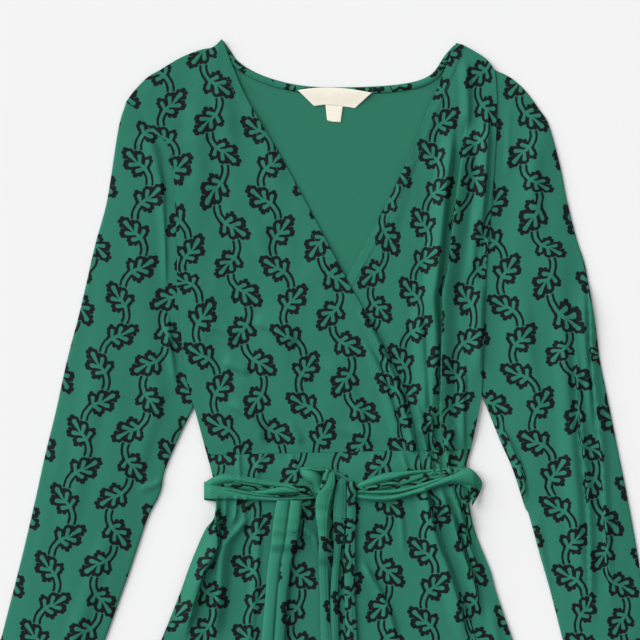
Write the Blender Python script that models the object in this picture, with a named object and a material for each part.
"""A long-sleeved jersey wrap dress laid flat on its back, its tie belt knotted at the waist.

Every piece is its own closed wall of cloth. A place on the dress is given the way a dressmaker
gives it: x millimetres from the centre front, plus to the right as it lies, and drop millimetres
below the high neck point. Heights are millimetres above the surface that the dress lies on.
The collar end points to +Y, the hem to -Y, and the origin is the middle of the underside's box.
"""

import math

import bpy

MM = 0.001  # metres in a millimetre
HALF_LENGTH = 565.0  # half of the length from the high neck point to the hem
CLOTH = 1.2  # thickness of a single cloth wall
GAP = 0.3  # air left at every seam and between layers
LAYER = CLOTH + GAP
SHOW = 2.8  # the front laps this far over the sleeve along the armhole

# Waist seam and hem, as (x, drop)
WAIST = [(-131, 416), (133, 410)]
HEM_SIDE_DROP = 1093.0
HEM_CENTRE_DROP = 2 * HALF_LENGTH
HEM_HALF_WIDTH = 345.0

# Shoulders, from the high neck point out, and the back neck from left to right, as (x, drop)
SHOULDER_LEFT = [(-116, 0), (-125, 8), (-138, 11), (-158, 19), (-178, 31), (-190, 38), (-203, 51), (-212, 63)]
SHOULDER_RIGHT = [(118, 4), (127, 7), (147, 19), (157, 31)]
BACK_NECK = [(-116, 0), (-101, 21), (-76, 36), (-38, 46), (7, 48), (62, 45), (92, 36), (107, 16), (118, 4)]

# Armhole and side of the body as it shows, from the shoulder to the waist, as (x, drop)
SIDE_LEFT = [
    (-212, 63), (-203, 69), (-186, 92), (-173, 102), (-166, 121), (-163, 161), (-161, 211),
    (-160, 261), (-151, 341), (-143, 371), (-135, 401), (-131, 416),
]
SIDE_RIGHT = [
    (157, 31), (159, 61), (158, 101), (154, 161), (149, 221), (147, 261), (145, 321),
    (143, 360), (137, 391), (133, 410),
]
UNDERARM_DROP = 261.0

# Front edges from the high neck point to the waist seam, as (x, drop)
OVER_EDGE = [
    (-116, 0), (-93, 56), (-58, 116), (-28, 171), (9, 241), (38, 292), (61, 338), (73, 376), (79.5, 411.3),
]
UNDER_EDGE = [
    (118, 4), (94, 61), (67, 126), (37, 186), (10, 236), (-20, 281), (-54, 331), (-92, 380), (-126, 415.9),
]

# Outer and inner edges of the sleeves below the armhole, as (x, drop)
SLEEVE_LEFT_OUTER = [
    (-212, 63), (-220, 91), (-231, 161), (-243, 206), (-258, 271), (-271, 321), (-282, 371),
    (-293, 416), (-304, 466), (-317, 521), (-331, 576), (-343, 623),
]
SLEEVE_LEFT_INNER = [
    (-158, 396), (-173, 431), (-178, 454), (-190, 478), (-198, 501), (-208, 531), (-219, 562), (-249, 645),
]
SLEEVE_RIGHT_OUTER = [
    (157, 31), (172, 38), (187, 51), (202, 71), (211, 86), (222, 126), (229, 161), (239, 201),
    (247, 226), (257, 281), (262, 321), (270, 361), (280, 411), (290, 461), (299, 511),
    (307, 562), (320, 645),
]
SLEEVE_RIGHT_INNER = [
    (162, 401), (175, 431), (187, 468), (191, 476), (202, 516), (215, 562), (240, 663),
]

# Skirt side edges and the free edge of the wrap, as (x, drop)
SKIRT_LEFT = [
    (-131, 416), (-125, 439), (-122, 466), (-125, 481), (-133, 491), (-148, 526), (-161, 562),
    (-200, 660), (-240, 770), (-280, 880), (-315, 990), (-345, 1093),
]
SKIRT_RIGHT = [
    (133, 410), (128, 428), (130, 452), (133, 476), (140, 501), (152, 531), (161, 562),
    (196, 660), (236, 770), (276, 880), (312, 990), (345, 1093),
]
WRAP_EDGE = [
    (79.5, 411.3), (84, 430), (89, 448), (98, 473), (101.5, 490), (106.5, 508), (113, 526),
    (120, 546), (130, 576),
    (148, 640), (172, 760), (195, 880), (213, 1000), (228, 1112),
]
# Rows of the skirts, as shares of the way from the waist seam to the hem
SKIRT_ROWS = [0, 0.012, 0.03, 0.078, 0.1, 0.122, 0.155, 0.2, 0.27, 0.36, 0.47, 0.6, 0.73, 0.87, 1]

# The back strand of the belt lies under the waist and lifts what is over it, as drops
BELT_LIFT = {"start": 417.0, "full": 431.0, "full_end": 470.0, "end": 500.0}

# Folds, as (x0, drop0, x1, drop1, half_width, height), ridges plus and troughs minus
FOLDS_OVER_BODICE = [
    (-100, 286, -34, 318, 13, 2.2),
    (-118, 326, -76, 350, 12, 2.0),
    (-80, 361, -48, 408, 13, 2.4),
    (-146, 96, -150, 250, 12, 2.2),
    (26, 284, 72, 396, 10, 2.2),
]
FOLDS_UNDER_BODICE = [
    (130, 50, 116, 230, 10, 4.2),
    (112, 230, 100, 400, 9, 4.5),
    (139, 110, 128, 300, 9, 3.6),
    (124, 290, 118, 405, 9, 3.2),
]
FOLDS_OVER_SKIRT = [
    (-122, 508, -150, 640, 13, 5.0),
    (-84, 505, -104, 700, 14, 3.4),
    (30, 525, 56, 620, 11, 3.0),
    (103, 516, 126, 606, 8, 4.0),
    (-180, 760, -232, 1080, 24, 6.0),
    (-24, 880, -34, 1112, 26, 5.0),
    (90, 780, 120, 1090, 24, 5.0),
]
FOLDS_UNDER_SKIRT = [
    (122, 505, 150, 600, 10, 4.6),
    (160, 640, 204, 800, 14, 5.0),
    (226, 820, 282, 1070, 20, 6.0),
]
FOLDS_SLEEVE_LEFT = [
    (-196, 118, -206, 230, 12, 1.8),
    (-190, 330, -224, 470, 14, 1.8),
]
FOLDS_SLEEVE_RIGHT = [
    (238, 240, 250, 420, 11, 3.4),
    (259, 300, 284, 520, 8, 2.6),
    (196, 400, 222, 540, 12, 2.0),
]

# Belt bands, as (x, drop) along their upper and lower edges
BAND_LEFT_UPPER = [
    (-134, 444), (-125, 438), (-114, 434.5), (-102, 435), (-86, 438.5), (-66, 442.5),
    (-46, 444.5), (-20, 447),
]
BAND_LEFT_LOWER = [(-134, 460), (-98, 460.3), (-68, 462), (-38, 460.5), (-20, 459.5)]
BAND_RIGHT_UPPER = [(14, 447), (42, 435), (65, 432), (97, 430), (112, 428.5), (132, 429)]
BAND_RIGHT_LOWER = [
    (14, 458), (31, 462), (51, 462), (68, 458), (85, 453), (102, 447), (117, 444.6), (128, 447.6), (134, 467),
]
BAND_RIGHT_END = [(132, 429), (144, 443), (142, 453), (134, 467)]
BELT_BACK_UPPER = [(-134, 443), (-100, 438), (100, 438), (141, 443)]
BELT_BACK_LOWER = [(-134, 461), (-100, 466), (100, 466), (132, 463)]
BELT_BASE = CLOTH * 3 + GAP * 4 + LAYER - GAP  # underside of the bands: three layers and the strand
BAND_PLEATS = 3
BAND_PLEAT_HEIGHT = 2.6

# The knot and the hanging strips of the tie, as (x, drop) of the middle and the width there
KNOT = {"left": -19.6, "right": 13.6, "top": 429.0, "bottom": 463.0, "height": 13.0}
LOOP_FRONT = [
    (-16, 463.4, 12), (-17, 480, 12), (-17, 505, 11), (-14, 540, 11), (-13, 570, 11),
    (-10, 640, 12), (-7, 700, 14),
]
LOOP_BACK = [
    (-3, 700, 13), (0, 640, 12), (1.5, 570, 11), (2, 540, 11), (2, 505, 11), (2.5, 480, 11), (3, 463.4, 11),
]
TAIL_RIGHT = [
    (13, 463.4, 9), (13, 480, 10), (13, 520, 10), (12.6, 561, 10), (16, 640, 15), (22, 730, 22),
    (27, 830, 26),
    (31, 905, 27),
]
TAIL_LEFT = [
    (-49, 465, 22), (-51, 490, 23), (-56, 520, 23), (-60, 550, 23), (-64, 590, 24),
    (-70, 660, 25), (-77, 760, 27),
    (-83, 850, 28),
]
TAIL_POINT = 16.0  # how far a tail's end slants

# Neck label and size tab, on the inside of the back below the neck, as (x, drop) corners
LABEL = [(-40, 55), (34, 57.5), (19, 72), (-24, 69.5)]
SIZE_TAB = [(-12.5, 70.8), (4.5, 71.6), (4.5, 85), (-11, 84)]
PAPER = 0.6  # thickness of the label and of the tab
BINDING_WIDTH = 6.0
SLEEVE_PUFF = 2.0  # how far the upper wall of a sleeve stands off the lower one
EDGE_INSET = 1.5  # how far the flat walls of a sleeve stop short of its folded edge
INNER_INSET = 1.3  # how much further the inside of the tube does
APEX_DROP = {"left": 371, "right": 360}  # where a sleeve leaves the bodice's side


def ramp(value, start, full):
    """0 before start, 1 after full, and a smooth change between."""
    t = max(0.0, min(1.0, (value - start) / (full - start)))
    return t * t * (3 - 2 * t)


def along(points, count, straight=False, bias=1.0):
    """count + 1 places along a smooth curve through the points, closer at its end if bias is under 1."""
    dense = list(points) if straight else []
    steps = 12
    for k in range(0 if straight else len(points) - 1):
        before = points[max(k - 1, 0)]
        start = points[k]
        end = points[k + 1]
        after = points[min(k + 2, len(points) - 1)]
        for step in range(steps):
            t = step / steps
            dense.append(tuple(
                0.5 * (
                    2 * start[i]
                    + (end[i] - before[i]) * t
                    + (2 * before[i] - 5 * start[i] + 4 * end[i] - after[i]) * t * t
                    + (3 * start[i] - before[i] - 3 * end[i] + after[i]) * t ** 3
                )
                for i in range(len(start))
            ))
    if not straight:
        dense.append(tuple(points[-1]))
    lengths = [0.0]
    for a, b in zip(dense, dense[1:]):
        lengths.append(lengths[-1] + math.hypot(b[0] - a[0], b[1] - a[1]))
    places = []
    k = 0
    for n in range(count + 1):
        wanted = lengths[-1] * (n / count) ** bias
        while k < len(dense) - 2 and lengths[k + 1] < wanted:
            k += 1
        t = (wanted - lengths[k]) / (lengths[k + 1] - lengths[k])
        places.append(tuple(a + (b - a) * t for a, b in zip(dense[k], dense[k + 1])))
    return places


def x_at(edge, drop):
    """Where an edge that runs down the dress is at a drop."""
    for (x0, d0), (x1, d1) in zip(edge, edge[1:]):
        if d0 <= drop <= d1:
            return x0 + (x1 - x0) * (drop - d0) / (d1 - d0)
    return edge[0][0] if drop < edge[0][1] else edge[-1][0]


def drop_at(edge, x):
    """The drop of an edge that runs across the dress, at an x."""
    for (x0, d0), (x1, d1) in zip(edge, edge[1:]):
        if x0 <= x <= x1:
            return d0 + (d1 - d0) * (x - x0) / (x1 - x0)
    return edge[0][1] if x < edge[0][0] else edge[-1][1]


def patch(top, bottom, left, right, bias=1.0):
    """A grid of places between four edges, rows from the top to the bottom edge."""
    columns = len(top) - 1
    rows = len(left) - 1
    grid = []
    for j in range(rows + 1):
        v = j / rows
        row = []
        for i in range(columns + 1):
            u = (i / columns) ** bias
            row.append(tuple(
                (1 - v) * top[i][k] + v * bottom[i][k] + (1 - u) * left[j][k] + u * right[j][k]
                - (1 - u) * (1 - v) * top[0][k] - u * (1 - v) * top[-1][k]
                - (1 - u) * v * bottom[0][k] - u * v * bottom[-1][k]
                for k in range(2)
            ))
        grid.append(row)
    return grid


def fold_height(folds, x, drop):
    """Height that the folds of a panel add at a place."""
    height = 0.0
    for x0, d0, x1, d1, half_width, rise in folds:
        length = math.hypot(x1 - x0, d1 - d0)
        t = ((x - x0) * (x1 - x0) + (drop - d0) * (d1 - d0)) / length ** 2
        away = abs((x - x0) * (d1 - d0) - (drop - d0) * (x1 - x0)) / length
        if 0 < t < 1 and away < half_width:
            bump = 0.5 + 0.5 * math.cos(math.pi * away / half_width)
            height += rise * math.sin(math.pi * t) ** 0.7 * bump
    return height


def inward(edge, distance, sign):
    """The edge moved in below the front, from the shoulder down to the gap between body and sleeve."""
    moved = []
    last = edge[-4][1] if sign > 0 else edge[-3][1]
    for x, drop in edge:
        share = ramp(drop, edge[0][1] + 4, edge[0][1] + 34) * (1 - ramp(drop, last - 14, last + 6))
        moved.append((x + sign * distance * share, drop))
    return moved


def belt_lift(drop):
    """How far the belt's back strand lifts the skirt over it."""
    rise = ramp(drop, BELT_LIFT["start"], BELT_LIFT["full"])
    return LAYER * rise * (1 - ramp(drop, BELT_LIFT["full_end"], BELT_LIFT["end"]))


def front_lift(x, drop, armhole, sign):
    """Lift of a front bodice where it laps over the sleeve and over the back neck binding."""
    away = sign * (x - x_at(armhole, drop))
    over_sleeve = (1 - ramp(away, 14, 36)) * (1 - ramp(drop, 392, 410))
    over_binding = 1 - ramp(drop, 74, 100)
    return max(over_sleeve, over_binding)


def over_bodice_under(x, drop):
    """Underside height of the over front bodice."""
    over_panel = ramp(x - x_at(UNDER_EDGE, drop), -64, -26) if drop > 150 else 0.0
    lifted = max(over_panel, front_lift(x, drop, SIDE_LEFT, 1))
    return LAYER + LAYER * lifted + fold_height(FOLDS_OVER_BODICE, x, drop)


def under_bodice_under(x, drop):
    """Underside height of the under front bodice, smooth where the over front covers it."""
    shows = ramp(x - x_at(OVER_EDGE, drop), 8, 26)
    folds = shows * fold_height(FOLDS_UNDER_BODICE, x, drop)
    return LAYER + LAYER * shows * front_lift(x, drop, SIDE_RIGHT, -1) + folds


def over_skirt_under(x, drop):
    """Underside height of the over front skirt."""
    hidden_edge = -x_at(WRAP_EDGE, drop)
    lifted = ramp(x - hidden_edge, -64, -26)
    return LAYER + LAYER * lifted + belt_lift(drop) + fold_height(FOLDS_OVER_SKIRT, x, drop)


def under_skirt_under(x, drop):
    """Underside height of the under front skirt, smooth where the over front covers it."""
    shows = ramp(x - x_at(WRAP_EDGE, drop), 3.5, 14)
    return LAYER + belt_lift(drop) + shows * fold_height(FOLDS_UNDER_SKIRT, x, drop)


def skirt_top(x, drop):
    """Top of the cloth that the tie's strips lie on."""
    return over_skirt_under(x, drop) + CLOTH


def place(x, drop, height):
    """A place on the dress as a point in metres."""
    return (x * MM, (HALF_LENGTH - drop) * MM, height * MM)


def material(name, colour, roughness):
    """A plain Principled finish."""
    made = bpy.data.materials.new(name)
    made.use_nodes = True
    shader = made.node_tree.nodes["Principled BSDF"]
    shader.inputs["Base Color"].default_value = (*colour, 1)
    shader.inputs["Roughness"].default_value = roughness
    shader.inputs["Metallic"].default_value = 0.0
    made.diffuse_color = (*colour, 1)
    return made


def solid(name, points, faces, finish):
    """An object from points in metres and faces that point outwards."""
    mesh = bpy.data.meshes.new(name)
    mesh.from_pydata(points, [], faces)
    mesh.materials.append(finish)
    mesh.update()
    made = bpy.data.objects.new(name, mesh)
    bpy.context.scene.collection.objects.link(made)
    return made


def two_triangles(a, b, c, d):
    """A four-sided face cut into two triangles."""
    return [(a, b, c), (a, c, d)]


def wall(name, under, over, finish):
    """A closed wall between an underside grid and an upper grid of points in metres."""
    rows = len(under)
    columns = len(under[0])
    points = [p for row in over for p in row] + [p for row in under for p in row]
    below = rows * columns
    faces = []
    for j in range(rows - 1):
        for i in range(columns - 1):
            a = j * columns + i
            b = a + columns
            faces += two_triangles(a, b, b + 1, a + 1)
            faces += [(below + a, below + b + 1, below + b), (below + a, below + a + 1, below + b + 1)]
    rim = [(0, i) for i in range(columns)]
    rim += [(j, columns - 1) for j in range(1, rows)]
    rim += [(rows - 1, i) for i in range(columns - 2, -1, -1)]
    rim += [(j, 0) for j in range(rows - 2, 0, -1)]
    for (j0, i0), (j1, i1) in zip(rim, rim[1:] + rim[:1]):
        a = j0 * columns + i0
        b = j1 * columns + i1
        faces += two_triangles(a, b, below + b, below + a)
    return solid(name, points, faces, finish)


def panel(name, grid, under_height, finish, thickness=CLOTH):
    """A panel of cloth: the grid's places at its underside's height, and its thickness above."""
    under = [[place(x, drop, under_height(x, drop)) for x, drop in row] for row in grid]
    over = [[place(x, drop, under_height(x, drop) + thickness) for x, drop in row] for row in grid]
    return wall(name, under, over, finish)


def skirt_grid(edges, columns):
    """Places of a skirt panel in rows from the waist seam to the hem, with columns between its edges."""
    spans = [(k, i / count) for k, count in enumerate(columns) for i in range(count)]
    spans.append((len(columns) - 1, 1.0))
    grid = []
    for share in SKIRT_ROWS:
        row = []
        for k, part in spans:
            x = 0.0
            for _ in range(4):
                drop = skirt_drop(x, share)
                x0 = x_at(edges[k], drop)
                x1 = x_at(edges[k + 1], drop)
                x = x0 + (x1 - x0) * part
            row.append((x, skirt_drop(x, share)))
        grid.append(row)
    return grid


def skirt_drop(x, share):
    """Drop of a skirt row at an x: the hem is an arc, lowest in the middle."""
    waist = drop_at(WAIST, x) + GAP
    across = min(1.0, abs(x) / HEM_HALF_WIDTH)
    hem = HEM_CENTRE_DROP - (HEM_CENTRE_DROP - HEM_SIDE_DROP) * across ** 2
    return waist + (hem - waist) * share


def make_skirts(finish):
    """Back skirt, under front skirt and over front skirt."""
    hidden_edge = [(-x, drop + 4) for x, drop in WRAP_EDGE]
    past_wrap = [(x + 3, drop) for x, drop in WRAP_EDGE]
    back = skirt_grid([SKIRT_LEFT, SKIRT_RIGHT], [8])
    under = skirt_grid([hidden_edge, past_wrap, SKIRT_RIGHT], [6, 10])
    over = skirt_grid([SKIRT_LEFT, WRAP_EDGE], [22])
    panel("back_skirt", back, lambda x, drop: belt_lift(drop), finish)
    panel("front_skirt_under", under, under_skirt_under, finish)
    panel("front_skirt_over", over, over_skirt_under, finish)


def make_bodices(finish):
    """Back bodice, under front bodice and over front bodice."""
    left = inward(SIDE_LEFT, SHOW, 1)
    right = inward(SIDE_RIGHT, SHOW, -1)
    shoulder = along(SHOULDER_LEFT[::-1], 5)
    neck = along(BACK_NECK, 12)
    top = shoulder[:-1] + neck + along(SHOULDER_RIGHT, 3)[1:]
    columns = len(top) - 1
    grid = patch(top, along(WAIST, columns, True), along(left, 14, True), along(right, 14, True))
    panel("back_bodice", grid, lambda x, drop: 0.0, finish)

    rows = 16
    waist = [UNDER_EDGE[-1], WAIST[-1]]
    bias = 0.62
    grid = patch(
        along(SHOULDER_RIGHT, 15, bias=bias), along(waist, 15, True, bias),
        along(UNDER_EDGE, rows, True), along(SIDE_RIGHT, rows, True), bias,
    )
    panel("front_bodice_under", grid, under_bodice_under, finish)

    waist = [WAIST[0], OVER_EDGE[-1]]
    grid = patch(
        along(SHOULDER_LEFT[::-1], 14), along(waist, 14, True),
        along(SIDE_LEFT, rows, True), along(OVER_EDGE, rows, True),
    )
    panel("front_bodice_over", grid, over_bodice_under, finish)


def sleeve(name, outline, armhole, outer, inner, folds, finish):
    """A sleeve as a flattened tube, open at the armhole and at the cuff."""
    rows = 16
    columns = 8
    cuff = [outer[-1], inner[-1]]
    top = along(armhole, columns, True)
    grid = patch(top, along(cuff, columns, True), along(outer, rows), along(inner, rows, True))
    rings = []
    for row in grid:
        (x0, d0), (x1, d1) = row[0], row[-1]
        width = math.hypot(x1 - x0, d1 - d0)
        step = ((x1 - x0) / width, (d1 - d0) / width)
        low_out = []
        low_in = []
        high_out = []
        high_in = []
        for i in range(columns + 1):
            u = i / columns
            x, drop = row[i]
            nudge = EDGE_INSET * (1 - 2 * u) if i in (0, columns) else 0.0
            tuck = INNER_INSET * (1 - 2 * u) if i in (0, columns) else 0.0
            clear = ramp(abs(x - x_at(outline, drop)), 9, 40)
            puff = SLEEVE_PUFF * math.sin(math.pi * u) + fold_height(folds, x, drop)
            top = 2 * CLOTH + GAP + clear * puff
            at = (x + step[0] * nudge, drop + step[1] * nudge)
            within = (at[0] + step[0] * tuck, at[1] + step[1] * tuck)
            low_out.append(place(*at, 0.0))
            low_in.append(place(*within, CLOTH))
            high_out.append(place(*at, top))
            high_in.append(place(*within, top - CLOTH))
        middle = CLOTH + GAP / 2
        left_out = place(x0, d0, middle)
        right_out = place(x1, d1, middle)
        left_in = place(x0 + step[0] * CLOTH * 1.4, d0 + step[1] * CLOTH * 1.4, middle)
        right_in = place(x1 - step[0] * CLOTH * 1.4, d1 - step[1] * CLOTH * 1.4, middle)
        ring_out = low_out + [right_out] + high_out[::-1] + [left_out]
        ring_in = low_in + [right_in] + high_in[::-1] + [left_in]
        rings.append((ring_out[::-1], ring_in[::-1]) if outer[-1][0] > inner[-1][0] else (ring_out, ring_in))
    return tube(name, rings, finish)


def tube(name, rings, finish):
    """A closed tube wall from pairs of an outer and an inner ring."""
    around = len(rings[0][0])
    points = [p for out, _ in rings for p in out] + [p for _, within in rings for p in within]
    inside = len(rings) * around
    faces = []
    last = (len(rings) - 1) * around
    for j in range(len(rings) - 1):
        for i in range(around):
            a = j * around + i
            b = j * around + (i + 1) % around
            faces += two_triangles(a, b, b + around, a + around)
            faces += two_triangles(inside + a, inside + a + around, inside + b + around, inside + b)
    for i in range(around):
        b = (i + 1) % around
        faces += two_triangles(i, inside + i, inside + b, b)
        faces += two_triangles(last + i, last + b, inside + last + b, inside + last + i)
    return solid(name, points, faces, finish)


def make_sleeves(finish):
    """The two sleeves, sewn along the armholes just under the front's edge."""
    for side, outline, outer, inner, folds, sign in (
        ("left", SIDE_LEFT, SLEEVE_LEFT_OUTER, SLEEVE_LEFT_INNER, FOLDS_SLEEVE_LEFT, 1),
        ("right", SIDE_RIGHT, SLEEVE_RIGHT_OUTER, SLEEVE_RIGHT_INNER, FOLDS_SLEEVE_RIGHT, -1),
    ):
        seam = inward(outline, SHOW - GAP, sign)
        armhole = [(x - sign * GAP, drop + GAP) for x, drop in seam if drop <= UNDERARM_DROP]
        side_seam = [(x - sign * GAP, drop) for x, drop in seam if UNDERARM_DROP < drop <= 341]
        apex = next((x, drop) for x, drop in outline if drop == APEX_DROP[side])
        crotch = (apex[0] - sign * 1.6, apex[1] - 2)
        path = [armhole[-1]] + side_seam + [crotch] + inner
        sleeve(f"sleeve_{side}", outline, armhole, [armhole[0]] + outer[1:], path, folds, finish)


def make_neck(cloth, paper):
    """The binding inside the back neck, the label sewn below it and the size tab."""
    upper = along([(x, drop + 1.0) for x, drop in BACK_NECK], 24)
    lower = []
    for k, (x, drop) in enumerate(upper):
        x0, d0 = upper[max(k - 1, 0)]
        x1, d1 = upper[min(k + 1, len(upper) - 1)]
        size = math.hypot(x1 - x0, d1 - d0)
        lower.append((x - (d1 - d0) / size * BINDING_WIDTH, drop + (x1 - x0) / size * BINDING_WIDTH))
    panel("back_neck_binding", [upper[1:-1], lower[1:-1]], lambda x, drop: LAYER, cloth, CLOTH)
    for name, corners in (("label", LABEL), ("size_tab", SIZE_TAB)):
        top_left, top_right, low_right, low_left = corners
        grid = patch(
            along([top_left, top_right], 4, True), along([low_left, low_right], 4, True),
            along([top_left, low_left], 2, True), along([top_right, low_right], 2, True),
        )
        panel(name, grid, lambda x, drop: LAYER, paper, PAPER)


def band_under(x):
    """Underside of a belt band: it turns down round the body at its outer end."""
    left = ramp(x, -134, -126)
    right = 1 - ramp(x, 135, 144)
    return LAYER + (BELT_BASE - LAYER) * min(left, right)


def make_band(name, upper, lower, end_left, end_right, finish):
    """A gathered stretch of the belt, its cloth crushed into lengthwise pleats."""
    across = 2 * BAND_PLEATS
    grid = patch(upper, lower, along(end_left, across, True), along(end_right, across))
    under = [[place(x, drop, band_under(x)) for x, drop in row] for row in grid]
    over = []
    for j, row in enumerate(grid):
        pleat = 0.5 + BAND_PLEAT_HEIGHT * (0.35 if j in (0, across) else 1.0 if j % 2 else 0.6)
        over.append([place(x, drop, band_under(x) + CLOTH + pleat) for x, drop in row])
    return wall(name, under, over, finish)


def make_belt(finish):
    """The strand behind the waist, the two bands in front and the knot."""
    grid = patch(
        along(BELT_BACK_UPPER, 12, True), along(BELT_BACK_LOWER, 12, True),
        along([BELT_BACK_UPPER[0], BELT_BACK_LOWER[0]], 1, True),
        along([BELT_BACK_UPPER[-1], BELT_BACK_LOWER[-1]], 1, True),
    )
    panel("belt_back", grid, lambda x, drop: 0.0, finish)
    make_band(
        "belt_band_left", along(BAND_LEFT_UPPER, 14), along(BAND_LEFT_LOWER, 14),
        [BAND_LEFT_UPPER[0], BAND_LEFT_LOWER[0]], [BAND_LEFT_UPPER[-1], BAND_LEFT_LOWER[-1]], finish,
    )
    make_band(
        "belt_band_right", along(BAND_RIGHT_UPPER, 14), along(BAND_RIGHT_LOWER, 14, True),
        [BAND_RIGHT_UPPER[0], BAND_RIGHT_LOWER[0]], BAND_RIGHT_END, finish,
    )
    size = 8
    under = []
    over = []
    middle = (KNOT["left"] + KNOT["right"]) / 2
    half_width = (KNOT["right"] - KNOT["left"]) / 2
    half_length = (KNOT["bottom"] - KNOT["top"]) / 2
    for j in range(size + 1):
        v = 2 * j / size - 1
        low = []
        high = []
        for i in range(size + 1):
            u = 2 * i / size - 1
            x = middle + half_width * u * math.sqrt(1 - 0.25 * v * v)
            drop = KNOT["top"] + half_length * (1 + v * math.sqrt(1 - 0.25 * u * u))
            dome = math.sqrt(max(0.0, (1 - u * u) * (1 - v * v)))
            low.append(place(x, drop, BELT_BASE))
            high.append(place(x, drop, BELT_BASE + 2.0 + KNOT["height"] * dome))
        under.append(low)
        over.append(high)
    wall("knot", under, over, finish)


def make_tie(finish):
    """The hanging loop, folded at its low end, and the two tails."""

    def on_skirt(x, drop):
        """Height of a strip that lies on the highest cloth around a place on the skirt."""
        return GAP + max(skirt_top(x + dx, drop + dd) for dx in (-14, 0, 14) for dd in (-18, 0, 18))

    for name, rows in (("tie_tail_right", TAIL_RIGHT), ("tie_tail_left", TAIL_LEFT)):
        places = along(rows, 12, True)
        under = []
        over = []
        for k, (x, drop, width) in enumerate(places):
            slant = TAIL_POINT if k == len(places) - 1 else 0.0
            columns = [(x - width / 2, 0.0), (x, -0.5), (x + width / 2, -1.0)]
            base = on_skirt(x, drop)
            under.append([place(cx, drop + slant * s, base) for cx, s in columns])
            rise = [0.0, 1.4, 0.0]
            over.append([place(cx, drop + slant * s, base + CLOTH + r) for (cx, s), r in zip(columns, rise)])
        wall(name, under, over, finish)

    front = along(LOOP_FRONT, 9, True)
    back = along(LOOP_BACK, 9, True)
    under = []
    over = []
    for x, drop, width in front:
        base = on_skirt(x, drop) + (LAYER + GAP) * ramp(drop, 500, 640)
        under.append([place(x - width / 2, drop, base), place(x + width / 2, drop, base)])
        over.append([place(x - width / 2, drop, base + CLOTH), place(x + width / 2, drop, base + CLOTH)])
    x, drop, width = front[-1]
    base = on_skirt(x, drop)
    middle = base + CLOTH + GAP
    for angle in (45, 90, 135):
        turn = math.radians(angle)
        centre = x + 4 * angle / 180
        inner_reach = GAP * math.sin(turn)
        outer_reach = (GAP + CLOTH) * math.sin(turn)
        inner_height = middle + GAP * math.cos(turn)
        outer_height = middle + (GAP + CLOTH) * math.cos(turn)
        sides = (centre - width / 2, centre + width / 2)
        under.append([place(side, drop + inner_reach, inner_height) for side in sides])
        over.append([place(side, drop + outer_reach, outer_height) for side in sides])
    for x, drop, width in back:
        base = on_skirt(x, drop)
        sides = (x - width / 2, x + width / 2)
        over.append([place(side, drop, base) for side in sides])
        under.append([place(side, drop, base + CLOTH) for side in sides])
    wall("tie_loop", under, over, finish)


def main():
    """Clears the scene and makes the dress."""
    for old in list(bpy.data.objects):
        bpy.data.objects.remove(old, do_unlink=True)
    printed = material("printed_jersey", (0.035, 0.21, 0.135), 0.75)
    lining_side = material("jersey_wrong_side", (0.03, 0.18, 0.12), 0.85)
    tie_cloth = material("tie_jersey", (0.04, 0.24, 0.155), 0.7)
    paper = material("cream_tape", (0.85, 0.82, 0.7), 0.6)
    make_bodices(printed)
    make_skirts(printed)
    make_sleeves(printed)
    make_neck(lining_side, paper)
    make_belt(tie_cloth)
    make_tie(tie_cloth)


main()
